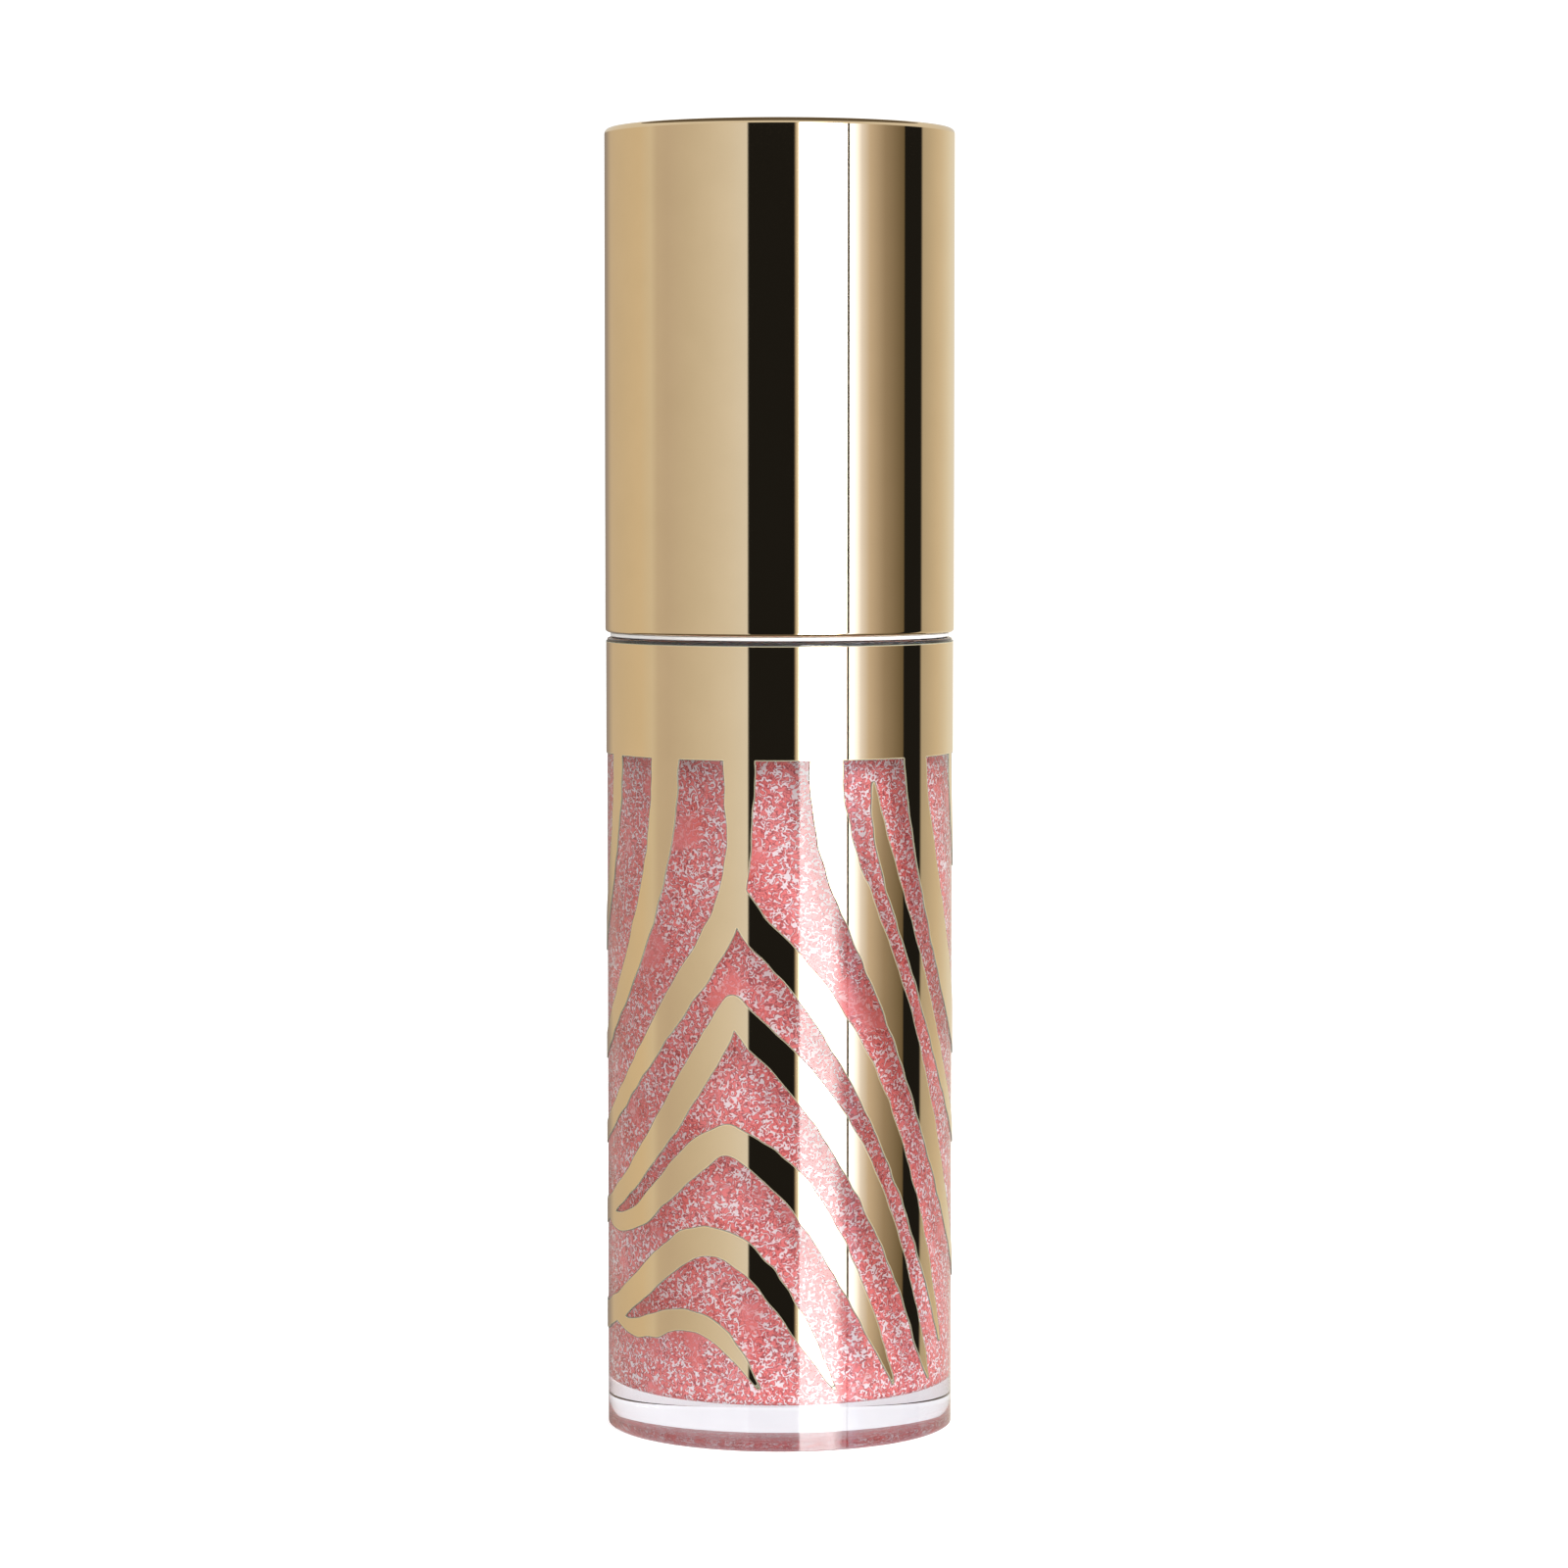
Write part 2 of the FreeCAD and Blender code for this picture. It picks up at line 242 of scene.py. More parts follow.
def thread_ridge(name, root_r, crest_r, start_z, start_deg, turns):
    """Helical trapezium ridge that runs out smoothly at both ends."""
    steps = int(turns * SLIM_SEGMENTS)
    run_out = 0.07 * steps
    foot = ROOT_W / 2
    vertices = []
    for i in range(steps + 1):
        a = math.radians(start_deg) + 2 * math.pi * turns * i / steps
        z = start_z + PITCH * turns * i / steps
        rise = min(1.0, i / run_out, (steps - i) / run_out)
        rise = 0.03 + 0.97 * rise * rise * (3 - 2 * rise)
        crest = root_r + (crest_r - root_r) * rise
        top = foot - (ROOT_W - CREST_W) / 2 * rise
        for r, dz in ((root_r, -foot), (crest, -top), (crest, top), (root_r, foot)):
            vertices.append((r * math.cos(a), r * math.sin(a), z + dz))
    faces = []
    for i in range(steps):
        for k in range(4):
            a, b = 4 * i + k, 4 * i + (k + 1) % 4
            faces.append((a, b, b + 4, a + 4))
    faces.append((0, 1, 2, 3))
    last = 4 * steps
    faces.append((last + 3, last + 2, last + 1, last))
    obj = new_object(name, vertices, faces)
    face_outwards(obj)
    bevel = obj.modifiers.new("soft_edges", "BEVEL")
    bevel.width = 0.09 * MM
    bevel.segments = 2
    bevel.limit_method = "ANGLE"
    with bpy.context.temp_override(object=obj):
        bpy.ops.object.modifier_apply(modifier=bevel.name)
    return smooth(obj, 40)


# ---------------------------------------------------------------- stripe print
# Brush strokes through (angle, height, width) points; angles are degrees from the front.
FALL_OUTER = [
    (-67, 39.8, 1.4), (-68, 36.6, 1.4), (-72, 33.2, 1.3), (-79, 30.2, 1.3), (-88, 28.2, 1.2),
    (-96, 27.4, 1.2),
]
FALL_LEFT = [
    (-40, 39.8, 2.1), (-41, 36.2, 2.0), (-45, 32.4, 1.8), (-52, 29.0, 1.7), (-61, 26.0, 1.5),
    (-72, 23.6, 1.3), (-84, 22.0, 1.3), (-96, 21.4, 1.3),
]
FALL_SPLIT = [
    (-13, 39.8, 1.9), (-13, 36.5, 1.7), (-13.6, 33.4, 1.4), (-16.5, 30.6, 1.7), (-23, 28.2, 1.8),
    (-33, 25.7, 1.8), (-46, 22.7, 1.5), (-60, 19.9, 1.3), (-74, 17.8, 1.1), (-88, 16.7, 1.1),
    (-96, 16.5, 1.1),
]
SPLIT_LEG = [
    (-14.5, 31.4, 1.3), (-8, 29.4, 1.8), (2, 27.6, 1.8), (13, 25.2, 1.8), (25, 22.0, 1.8),
    (37, 18.0, 1.6), (48, 13.6, 1.3), (57.5, 9.4, 0.9), (66, 5.4, 0.3),
]
FALL_CENTRE = [
    (15, 39.8, 2.0), (15.6, 36.8, 2.0), (19, 33.8, 2.1), (26, 30.6, 2.2), (36, 26.8, 2.1),
    (47, 22.4, 1.9), (58, 17.8, 1.6), (69, 13.6, 1.2), (80, 10.4, 0.9), (89, 8.8, 0.6),
    (96, 8.4, 0.6),
]
FALL_RIGHT = [
    (50, 39.8, 2.0), (51.5, 36.8, 2.0), (56, 33.4, 2.1), (63.5, 29.6, 2.2), (73, 26.0, 2.2),
    (84, 23.2, 2.0), (96, 21.8, 2.0),
]
FALL_THIN = [(77, 39.8, 0.8), (79, 36.8, 0.8), (84, 34.0, 0.8), (96, 31.6, 0.8)]
ISLAND = [
    (32, 37.4, 0.3), (33.6, 35.2, 0.8), (38.4, 32.4, 1.2), (46, 29.0, 1.2), (55, 25.4, 1.1),
    (64, 22.0, 1.0), (74, 19.0, 0.9), (85, 17.0, 0.8), (96, 16.2, 0.8),
]
CHEVRON_LEFT = [
    (-15, 25.0, 1.3), (-22, 22.9, 1.7), (-33, 19.9, 1.7), (-47, 16.7, 1.5), (-61, 14.3, 1.3),
    (-76, 12.8, 1.3), (-88, 12.2, 1.3), (-96, 12.0, 1.3),
]
CHEVRON_RIGHT = [
    (-15, 25.0, 1.3), (-8, 23.5, 1.7), (2, 21.8, 1.8), (13, 19.5, 1.8), (25, 16.3, 1.8),
    (36, 12.6, 1.5), (46, 8.6, 1.1), (53.5, 5.2, 0.8), (58, 3.4, 0.25),
]
CHEVRON_LOWER = [
    (-80, 12.5, 0.8), (-67, 12.1, 1.0), (-54, 12.7, 1.3), (-41, 14.4, 1.5), (-29, 16.3, 1.7),
    (-18, 17.5, 1.8), (-7, 16.6, 1.8), (4, 14.9, 1.8), (15, 12.2, 1.6), (25, 9.0, 1.3),
    (34, 5.8, 0.8), (40, 3.5, 0.25),
]
FORK_ARCH = [
    (-96, 6.2, 1.6), (-82, 6.4, 1.6), (-68, 7.2, 1.6), (-54, 8.6, 1.6), (-41, 10.3, 1.7),
    (-29, 11.6, 1.8), (-18, 11.6, 1.7), (-8, 10.4, 1.5), (2, 8.2, 1.3), (11, 5.6, 0.8),
    (18, 3.5, 0.25),
]
FORK_TINE = [
    (-72, 6.9, 0.8), (-58, 6.3, 1.0), (-46, 6.6, 1.3), (-34, 7.2, 1.3), (-23, 6.8, 1.2),
    (-14, 5.4, 0.8), (-7, 3.6, 0.25),
]
PRINT = {
    "foil_band": [
        FALL_OUTER, FALL_LEFT, FALL_SPLIT, SPLIT_LEG, FALL_CENTRE, FALL_RIGHT, FALL_THIN,
    ],
    "foil_island": [ISLAND],
    "foil_chevron": [CHEVRON_LEFT, CHEVRON_RIGHT, CHEVRON_LOWER],
    "foil_fork": [FORK_ARCH, FORK_TINE],
}
STEP = 0.14
WAVER = 0.11
QUARTER = math.pi / 2 * BOTTLE_R


def spline_through(points, step=STEP):
    """Catmull-Rom points along a list of 2-D vectors, about step apart."""
    padded = [2 * points[0] - points[1]] + points + [2 * points[-1] - points[-2]]
    out = []
    for i in range(1, len(padded) - 2):
        p0, p1, p2, p3 = padded[i - 1:i + 3]
        t1 = (p1 - p0).length ** 0.5
        t2 = t1 + (p2 - p1).length ** 0.5
        t3 = t2 + (p3 - p2).length ** 0.5
        count = max(2, round((p2 - p1).length / step))
        for k in range(count):
            t = t1 + (t2 - t1) * k / count
            a1 = p0 * ((t1 - t) / t1) + p1 * (t / t1)
            a2 = p1 * ((t2 - t) / (t2 - t1)) + p2 * ((t - t1) / (t2 - t1))
            a3 = p2 * ((t3 - t) / (t3 - t2)) + p3 * ((t - t2) / (t3 - t2))
            b1 = a1 * ((t2 - t) / t2) + a2 * (t / t2)
            b2 = a2 * ((t3 - t) / (t3 - t1)) + a3 * ((t - t1) / (t3 - t1))
            out.append(b1 * ((t2 - t) / (t2 - t1)) + b2 * ((t - t1) / (t2 - t1)))
    return out + [points[-1]]


def stroke_outline(knots):
    """Closed outline of a brush stroke on the unrolled wall (x arc length, y height)."""
    middle = [Vector((math.radians(a) * BOTTLE_R, z)) for a, z, _ in knots]
    left = []
    right = []
    for i, (point, knot) in enumerate(zip(middle, knots)):
        along = middle[min(i + 1, len(middle) - 1)] - middle[max(i - 1, 0)]
        side = Vector((-along.y, along.x)).normalized() * knot[2] / 2
        left.append(point + side)
        right.append(point - side)
    outline = spline_through(left)
    outline += round_tip(left[-1], right[-1])
    outline += spline_through(right[::-1])
    outline += round_tip(right[0], left[0])
    return [wavered(point) for point in outline], spline_through(middle, 0.3)


def wavered(point):
    """The small unevenness of a printed edge; none beyond the silhouette line."""
    calm = min(1.0, max(0.0, (QUARTER - abs(point.x)) / 1.5))
    place = Vector((point.x * 0.9, point.y * 0.9, 4.0))
    return point + Vector((WAVER * calm * noise_value(place), WAVER * noise_value(place.yxz)))


def round_tip(start, end):
    """Points of a half circle from start to end, turning clockwise."""
    centre = (start + end) / 2
    arm = start - centre
    count = max(3, round(math.pi * arm.length / STEP))
    tip = []
    for k in range(1, count):
        a = -math.pi * k / count
        tip.append(centre + Vector((
            arm.x * math.cos(a) - arm.y * math.sin(a), arm.x * math.sin(a) + arm.y * math.cos(a),
        )))
    return tip


def inside(point, outline):
    """Even-odd test of a point against a closed outline."""
    hit = False
    j = len(outline) - 1
    for i in range(len(outline)):
        a, b = outline[i], outline[j]
        if (a.y > point.y) != (b.y > point.y):
            if point.x < (b.x - a.x) * (point.y - a.y) / (b.y - a.y) + a.x:
                hit = not hit
        j = i
    return hit


def print_triangles(strokes, with_band):
    """Triangulated front half of the print: 2-D points and triangles."""
    drawn = [stroke_outline(knots) for knots in strokes]
    outlines = [outline for outline, _ in drawn]
    margin = 0.5
    low = min(p.y for outline in outlines for p in outline) - margin
    high = max(p.y for outline in outlines for p in outline) + margin
    if with_band:
        high = FOIL_TOP
    points = []
    edges = []

    def add_line(line, closed=False):
        first = len(points)
        points.extend(line)
        last = len(points) - 1
        edges.extend((i, i + 1) for i in range(first, last))
        if closed:
            edges.append((last, first))

    for outline, middle in drawn:
        add_line(outline, closed=True)
        points.extend(middle)
    columns = 72
    rows = 24
    for x in (-QUARTER, QUARTER):
        add_line([Vector((x, low + (high - low) * i / rows)) for i in range(rows + 1)])
    xs = [-QUARTER + 2 * QUARTER * i / columns for i in range(columns + 1)]
    if with_band:
        add_line([Vector((x, FOIL_TOP)) for x in xs])
        add_line([Vector((x, BAND_BOTTOM)) for x in xs])
    # a grid of loose points keeps the triangles small enough to follow the round wall
    row_height = 0.43
    z = low + 0.2
    while z < high:
        points.extend(Vector((x + 0.07, z)) for x in xs[:-1])
        z += row_height
    verts, _, tris, _, _, _ = delaunay_2d_cdt(points, edges, [], 0, 1e-5)

    def is_gold(place):
        if with_band and BAND_BOTTOM < place.y < FOIL_TOP:
            return True
        return place.y < FOIL_TOP and any(inside(place, outline) for outline in outlines)

    kept = []
    for tri in tris:
        centre = (verts[tri[0]] + verts[tri[1]] + verts[tri[2]]) / 3
        if abs(centre.x) <= QUARTER and is_gold(centre):
            kept.append(tuple(tri))
    return verts, kept


def wrapped(flat, tris):
    """The print and its mirror image at the back: (angle, height) points, and their faces."""
    used = sorted({i for tri in tris for i in tri})
    place = {}
    plan = []
    for mirrored in (False, True):
        for i in used:
            key = (round(flat[i].x, 5), round(flat[i].y, 5), mirrored)
            if abs(abs(flat[i].x) - QUARTER) < 1e-4:
                key = (key[0], key[1], False)
            if key not in place:
                place[key] = len(plan)
                angle = flat[i].x / BOTTLE_R
                plan.append((math.pi - angle if mirrored else angle, flat[i].y))
            place[(i, mirrored)] = place[key]
    faces = []
    for mirrored in (False, True):
        for tri in tris:
            ids = [place[(i, mirrored)] for i in tri]
            faces.append(ids[::-1] if mirrored else ids)
    return plan, faces


def rim_edges(faces):
    """Edges that only one face has, in that face's direction."""
    rim = {}
    for ids in faces:
        for a, b in zip(ids, ids[1:] + ids[:1]):
            if (b, a) in rim:
                del rim[(b, a)]
            else:
                rim[(a, b)] = True
    return list(rim)


def rim_distances(plan, rim):
    """How far each point of the print is from its rim, in millimetres."""
    tree = KDTree(2 * len(rim))
    for i, (a, b) in enumerate(rim):
        start, end = Vector((*plan[a], 0)), Vector((*plan[b], 0))
        start.x *= BOTTLE_R
        end.x *= BOTTLE_R
        tree.insert(start, 2 * i)
        tree.insert((start + end) / 2, 2 * i + 1)
    tree.balance()
    return [tree.find((a * BOTTLE_R, z, 0))[2] for a, z in plan]


def on_cylinder(r, plan):
    """(angle, height) points placed at a radius; angle 0 is the front, on -Y."""
    return [(r * math.sin(a), -r * math.cos(a), z) for a, z in plan]


def skin_normals(mesh, plan):
    """Corner normals: exactly radial on the skin's triangles, flat on its rim's quads."""
    normals = []
    for polygon in mesh.polygons:
        for index in polygon.vertices:
            if polygon.loop_total == 4:
                normals.append(polygon.normal.copy())
                continue
            angle = plan[index % len(plan)][0]
            outward = 1 if index < len(plan) else -1
            normals.append(Vector((outward * math.sin(angle), -outward * math.cos(angle), 0)))
    return normals


def foil(name, strokes, with_band):
    """Foil skin on the wall, with its rim in a dark painted-shadow material and each point's rim
    distance.
    """
    plan, faces = wrapped(*print_triangles(strokes, with_band))
    rim = rim_edges(faces)
    count = len(plan)
    all_faces = [tuple(ids) for ids in faces]
    all_faces += [tuple(i + count for i in ids[::-1]) for ids in faces]
    all_faces += [(b, a, a + count, b + count) for a, b in rim]
    vertices = on_cylinder(FOIL_R, plan) + on_cylinder(BOTTLE_R - CONTACT, plan)
    obj = new_object(name, vertices, all_faces)
    mesh = obj.data
    mesh.shade_smooth()
    mesh.normals_split_custom_set(skin_normals(mesh, plan))
    mesh.materials.append(FOIL_GOLD)
    mesh.materials.append(FOIL_EDGE_SHADOW)
    # the rim quads take the dark material: painted shadow along the foil's edge
    for polygon in mesh.polygons:
        polygon.material_index = int(polygon.index >= 2 * len(faces))
    edge = mesh.attributes.new("edge_mm", "FLOAT", "POINT")
    edge.data.foreach_set("value", 2 * rim_distances(plan, rim))
    return obj


# ---------------------------------------------------------------- materials
def material(name):
    mat = bpy.data.materials.new(name)
    mat.use_nodes = True
    nodes = mat.node_tree.nodes
    shader = nodes["Principled BSDF"]
    return mat, nodes, mat.node_tree.links, shader


def millimetres(nodes, links):
    """Object coordinates in millimetres."""
    coord = nodes.new("ShaderNodeTexCoord")
    scale = nodes.new("ShaderNodeVectorMath")
    scale.operation = "SCALE"
    scale.inputs["Scale"].default_value = 1000
    links.new(coord.outputs["Object"], scale.inputs[0])
    return scale.outputs[0]


def noise(nodes, links, coord, scale, detail, distortion=0.0):
    node = nodes.new("ShaderNodeTexNoise")
    node.inputs["Scale"].default_value = scale
    node.inputs["Detail"].default_value = detail
    node.inputs["Distortion"].default_value = distortion
    links.new(coord, node.inputs["Vector"])
    return node.outputs[0]


def ramp(nodes, links, factor, stops):
    node = nodes.new("ShaderNodeValToRGB")
    elements = node.color_ramp.elements
    while len(elements) < len(stops):
        elements.new(1.0)
    for element, (position, colour) in zip(elements, stops):
        element.position = position
        element.color = (*colour, 1) if len(colour) == 3 else colour
    links.new(factor, node.inputs["Fac"])
    return node.outputs["Color"]


def math_node(nodes, links, operation, a, b=None, c=None):
    node = nodes.new("ShaderNodeMath")
    node.operation = operation
    for socket, value in zip(node.inputs, (a, b, c)):
        if value is None:
            continue
        if isinstance(value, (int, float)):
            socket.default_value = value
        else:
            links.new(value, socket)
    return node.outputs[0]


def bump(nodes, links, shader, height, strength, distance):
    node = nodes.new("ShaderNodeBump")
    node.inputs["Strength"].default_value = strength
    node.inputs["Distance"].default_value = distance
    links.new(height, node.inputs["Height"])
    links.new(node.outputs["Normal"], shader.inputs["Normal"])


def blend(nodes, links, factor, first, second, mode="MIX"):
    node = nodes.new("ShaderNodeMix")
    node.data_type = "RGBA"
    node.blend_type = mode
    for socket, value in (("Factor", factor), ("A", first), ("B", second)):
        if isinstance(value, (float, tuple)):
            node.inputs[socket].default_value = value
        else:
            links.new(value, node.inputs[socket])
    return node.outputs["Result"]


# Tones are linear RGB. Noise scales count per millimetre.
def gold_material(name, edge_shadow_line):
    """Polished gold; optionally a thin dark line of painted shadow runs along the print's rim."""
    mat, nodes, links, shader = material(name)
    coord = millimetres(nodes, links)
    cloud = noise(nodes, links, coord, scale=0.35, detail=3)
    tone = ramp(nodes, links, cloud, [(0.3, (0.91, 0.725, 0.47)), (0.7, (0.94, 0.75, 0.49))])
    shader.inputs["Metallic"].default_value = 1.0
    if edge_shadow_line:
        distance = nodes.new("ShaderNodeAttribute")
        distance.attribute_name = "edge_mm"
        metal = ramp(nodes, links, distance.outputs["Fac"], [(0.03, (0, 0, 0)), (0.075, (1, 1, 1))])
        # painted shadow: a near-black tone along the print's rim stands in for the shade at the
        # foil's edge
        tone = blend(nodes, links, metal, (0.11, 0.12, 0.09, 1.0), tone)
        links.new(metal, shader.inputs["Metallic"])
        shader.inputs["Specular IOR Level"].default_value = 0.15
    links.new(tone, shader.inputs["Base Color"])
    grain = noise(nodes, links, coord, scale=9, detail=3)
    span = nodes.new("ShaderNodeMapRange")
    span.inputs["To Min"].default_value = 0.01
    span.inputs["To Max"].default_value = 0.035
    links.new(grain, span.inputs["Value"])
    links.new(span.outputs[0], shader.inputs["Roughness"])
    ripple = noise(nodes, links, coord, scale=14, detail=2)
    bump(nodes, links, shader, ripple, strength=0.01, distance=0.00001)
    return mat


def clear_material():
    """Clear plastic with a trace of haze."""
    mat, nodes, links, shader = material("clear_wall")
    coord = millimetres(nodes, links)
    cloud = noise(nodes, links, coord, scale=0.6, detail=2)
    haze = ramp(nodes, links, cloud, [(0.35, (0.75, 0.735, 0.78)), (0.7, (0.79, 0.775, 0.82))])
    links.new(haze, shader.inputs["Base Color"])
    shader.inputs["Transmission Weight"].default_value = 1.0
    shader.inputs["IOR"].default_value = 1.5
    shader.inputs["Roughness"].default_value = 0.0
    return mat


def gloss_material():
    """Coral gloss crowded with short bright flecks, each with a darker outline."""
    mat, nodes, links, shader = material("glitter_gloss")
    coord = millimetres(nodes, links)
    worms = noise(nodes, links, coord, scale=3.2, detail=0.6, distortion=1.0)
    ridge = math_node(nodes, links, "ABSOLUTE",
                      math_node(nodes, links, "SUBTRACT", worms, 0.5))
    breaks = noise(nodes, links, coord, scale=4.6, detail=0.0)
    cuts = ramp(nodes, links, breaks, [(0.43, (0, 0, 0)), (0.47, (1, 1, 1))])
    crowding = noise(nodes, links, coord, scale=0.4, detail=1.0)
    patches = ramp(nodes, links, crowding, [(0.30, (0.25, 0.25, 0.25)), (0.40, (1, 1, 1))])
    where = math_node(nodes, links, "MULTIPLY", cuts, patches)
    cloud = noise(nodes, links, coord, scale=0.7, detail=3)
    body = ramp(nodes, links, cloud,
                [(0.3, (0.92, 0.20, 0.185)), (0.5, (0.96, 0.25, 0.24)), (0.72, (0.98, 0.31, 0.305))])
    outline = ramp(nodes, links, ridge,
                   [(0.06, (0, 0, 0)), (0.085, (0.85, 0.85, 0.85)), (0.17, (0, 0, 0))])
    fleck = ramp(nodes, links, ridge,
                 [(0.0, (1, 1, 1)), (0.055, (1, 1, 1)), (0.075, (0, 0, 0))])
    dark = math_node(nodes, links, "MULTIPLY", outline, patches)
    bright = math_node(nodes, links, "MULTIPLY", fleck, where)
    colour = blend(nodes, links, dark, body, (0.30, 0.03, 0.035, 1.0))
    colour = blend(nodes, links, bright, colour, (1.0, 0.93, 0.93, 1.0))
    links.new(colour, shader.inputs["Base Color"])
    shader.inputs["Roughness"].default_value = 0.35
    bump(nodes, links, shader, ridge, strength=0.35, distance=0.0001)
    return mat


def plastic_material(name, dark, light, roughness, subsurface=0.0):
    """Faintly clouded plastic between two tones."""
    mat, nodes, links, shader = material(name)
    coord = millimetres(nodes, links)
    cloud = noise(nodes, links, coord, scale=1.2, detail=3)
    tone = ramp(nodes, links, cloud, [(0.3, dark), (0.7, light)])
    links.new(tone, shader.inputs["Base Color"])
    shader.inputs["Roughness"].default_value = roughness
    shader.inputs["Subsurface Weight"].default_value = subsurface
    shader.inputs["Subsurface Scale"].default_value = 0.001
    shader.inputs["Specular IOR Level"].default_value = 0.3
    grain = noise(nodes, links, coord, scale=20, detail=2)
    bump(nodes, links, shader, grain, strength=0.12, distance=0.00002)
    return mat


def flock_material():
    """Matt fibres, stained by the gloss."""
    mat, nodes, links, shader = material("flock_fibre")
    coord = millimetres(nodes, links)
    cloud = noise(nodes, links, coord, scale=6, detail=3)
    tone = ramp(nodes, links, cloud, [(0.3, (0.42, 0.22, 0.22)), (0.7, (0.52, 0.31, 0.305))])
    links.new(tone, shader.inputs["Base Color"])
    shader.inputs["Roughness"].default_value = 0.85
    shader.inputs["Sheen Weight"].default_value = 0.2
    nap = noise(nodes, links, coord, scale=16, detail=3)
    bump(nodes, links, shader, nap, strength=0.5, distance=0.0001)
    return mat


CAP_GOLD = gold_material("polished_gold", edge_shadow_line=False)
FOIL_GOLD = gold_material("foil_gold", edge_shadow_line=True)
CLEAR = clear_material()
GLOSS = gloss_material()
NATURAL = plastic_material("natural_plastic", (0.33, 0.335, 0.33), (0.39, 0.395, 0.39),
                           roughness=0.3, subsurface=0.2)
SOFT = plastic_material("soft_plastic", (0.27, 0.275, 0.27), (0.32, 0.325, 0.32),
                        roughness=0.45, subsurface=0.2)
# painted shade: the liner's plastic in a separate grey tone for its rim in the seam gap, set to the
# look of the shaded gap
RIM_SHADE = plastic_material("rim_painted_shade", (0.58, 0.57, 0.56), (0.64, 0.63, 0.62), roughness=0.5)
# painted shadow: dark greenish tone for the foil's side faces, standing in for the shade along their
# edge
FOIL_EDGE_SHADOW = plastic_material("foil_edge_painted_shadow", (0.16, 0.17, 0.13), (0.24, 0.24, 0.19), roughness=0.6)
FLOCK = flock_material()


def dress(obj, mat, body, node):
    """Material for a piece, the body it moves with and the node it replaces."""
    if not obj.data.materials:
        obj.data.materials.append(mat)
    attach(obj, body)
    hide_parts(node)
    return obj


# ---------------------------------------------------------------- bottle
def push_up():
    """Underside from the axis to the standing ring: flat in the middle, steeper at the rim."""
    steps = 12
    return [(RECESS_R * k / steps, RECESS_H * (1 - (k / steps) ** 8), 0) for k in range(steps + 1)]


bottle = lathe("bottle_wall", push_up() + [
    (BOTTLE_R, 0, 0.04), (BOTTLE_R, BOTTLE_TOP, 0.15), (SHOULDER_R, BOTTLE_TOP, 0.05),
    (SHOULDER_R, SHOULDER_Z, 0), (CAVITY_R, SHOULDER_Z, 0.05), (CAVITY_R, CAVITY_FLOOR, 0.3),
    (0, CAVITY_FLOOR, 0),
])
dress(bottle, CLEAR, "bottle", "bottle_body")

gloss = lathe("gloss", [
    (0, CAVITY_FLOOR - CONTACT, 0), (CAVITY_R + CONTACT, CAVITY_FLOOR - CONTACT, 0.3),
    (CAVITY_R + CONTACT, GLOSS_TOP, 0), (CAVITY_R - 0.3, GLOSS_TOP - MENISCUS, 0.1),
    (WELL_R + 0.25, GLOSS_TOP - MENISCUS, 0.1), (WELL_R, GLOSS_TOP, 0), (WELL_R, WELL_FLOOR, 0.4),
    (0, WELL_FLOOR, 0),
])
dress(gloss, GLOSS, "bottle", "gloss_fill")

for foil_name, foil_strokes in PRINT.items():
    skin = foil(foil_name + "_skin", foil_strokes, foil_name == "foil_band")
    dress(skin, FOIL_GOLD, "bottle", foil_name)

neck = lathe("neck_tube", [
    (NECK_BORE_R, SHOULDER_Z, 0), (NECK_R, PLUG_BOTTOM, 0), (CAVITY_R - GAP, PLUG_BOTTOM, 0.15),
    (CAVITY_R - GAP, SHOULDER_Z + GAP, 0), (SHOULDER_R - GAP, SHOULDER_Z + GAP, 0.1),
    (SHOULDER_R - GAP, BOTTLE_TOP, 0.1), (NECK_R, BOTTLE_TOP, 0), (NECK_R, NECK_TOP, 0.15),
    (WIPER_SEAT_R, NECK_TOP, 0.05), (WIPER_SEAT_R, NECK_TOP - WIPER_SEAT_T, 0),
    (NECK_BORE_R, NECK_TOP - WIPER_SEAT_T, 0),
])
ridge = thread_ridge("neck_thread", NECK_R - THREAD_ROOT, MALE_CREST_R, MALE_START_Z, 0, MALE_TURNS)
neck = joined("neck_with_thread", [neck, ridge])
dress(neck, NATURAL, "bottle", "neck_insert")

wiper_r = NECK_BORE_R - FIT
wiper_flange_r = WIPER_SEAT_R - FIT
wiper_seat = NECK_TOP - WIPER_SEAT_T + FIT
wiper = lathe("wiper_ring", [
    (wiper_r, WIPER_LIP_Z + 1.6, 0.1), (wiper_r, wiper_seat, 0),
    (wiper_flange_r, wiper_seat, 0.04), (wiper_flange_r, NECK_TOP - FIT, 0.1),
    (wiper_r - WIPER_T, NECK_TOP - FIT, 0.15), (wiper_r - WIPER_T, WIPER_LIP_Z + 2.2, 0.4),
    (WIPER_LIP_R, WIPER_LIP_Z + 0.5, 0.08), (WIPER_LIP_R, WIPER_LIP_Z, 0.08),
    (3.6, WIPER_LIP_Z + 1.0, 0.4),
])
dress(wiper, SOFT, "bottle", "wiper")

# ---------------------------------------------------------------- seal and stem
seal = lathe("seal_ring", [
    (STEM_R + GAP, SEAL_BOTTOM, 0.05), (SEAL_R, SEAL_BOTTOM, 0.1),
    (SEAL_R, SEAL_BOTTOM + SEAL_T, 0.1), (STEM_R + GAP, SEAL_BOTTOM + SEAL_T, 0.05),
])
dress(seal, SOFT, "seal", "seal_washer")

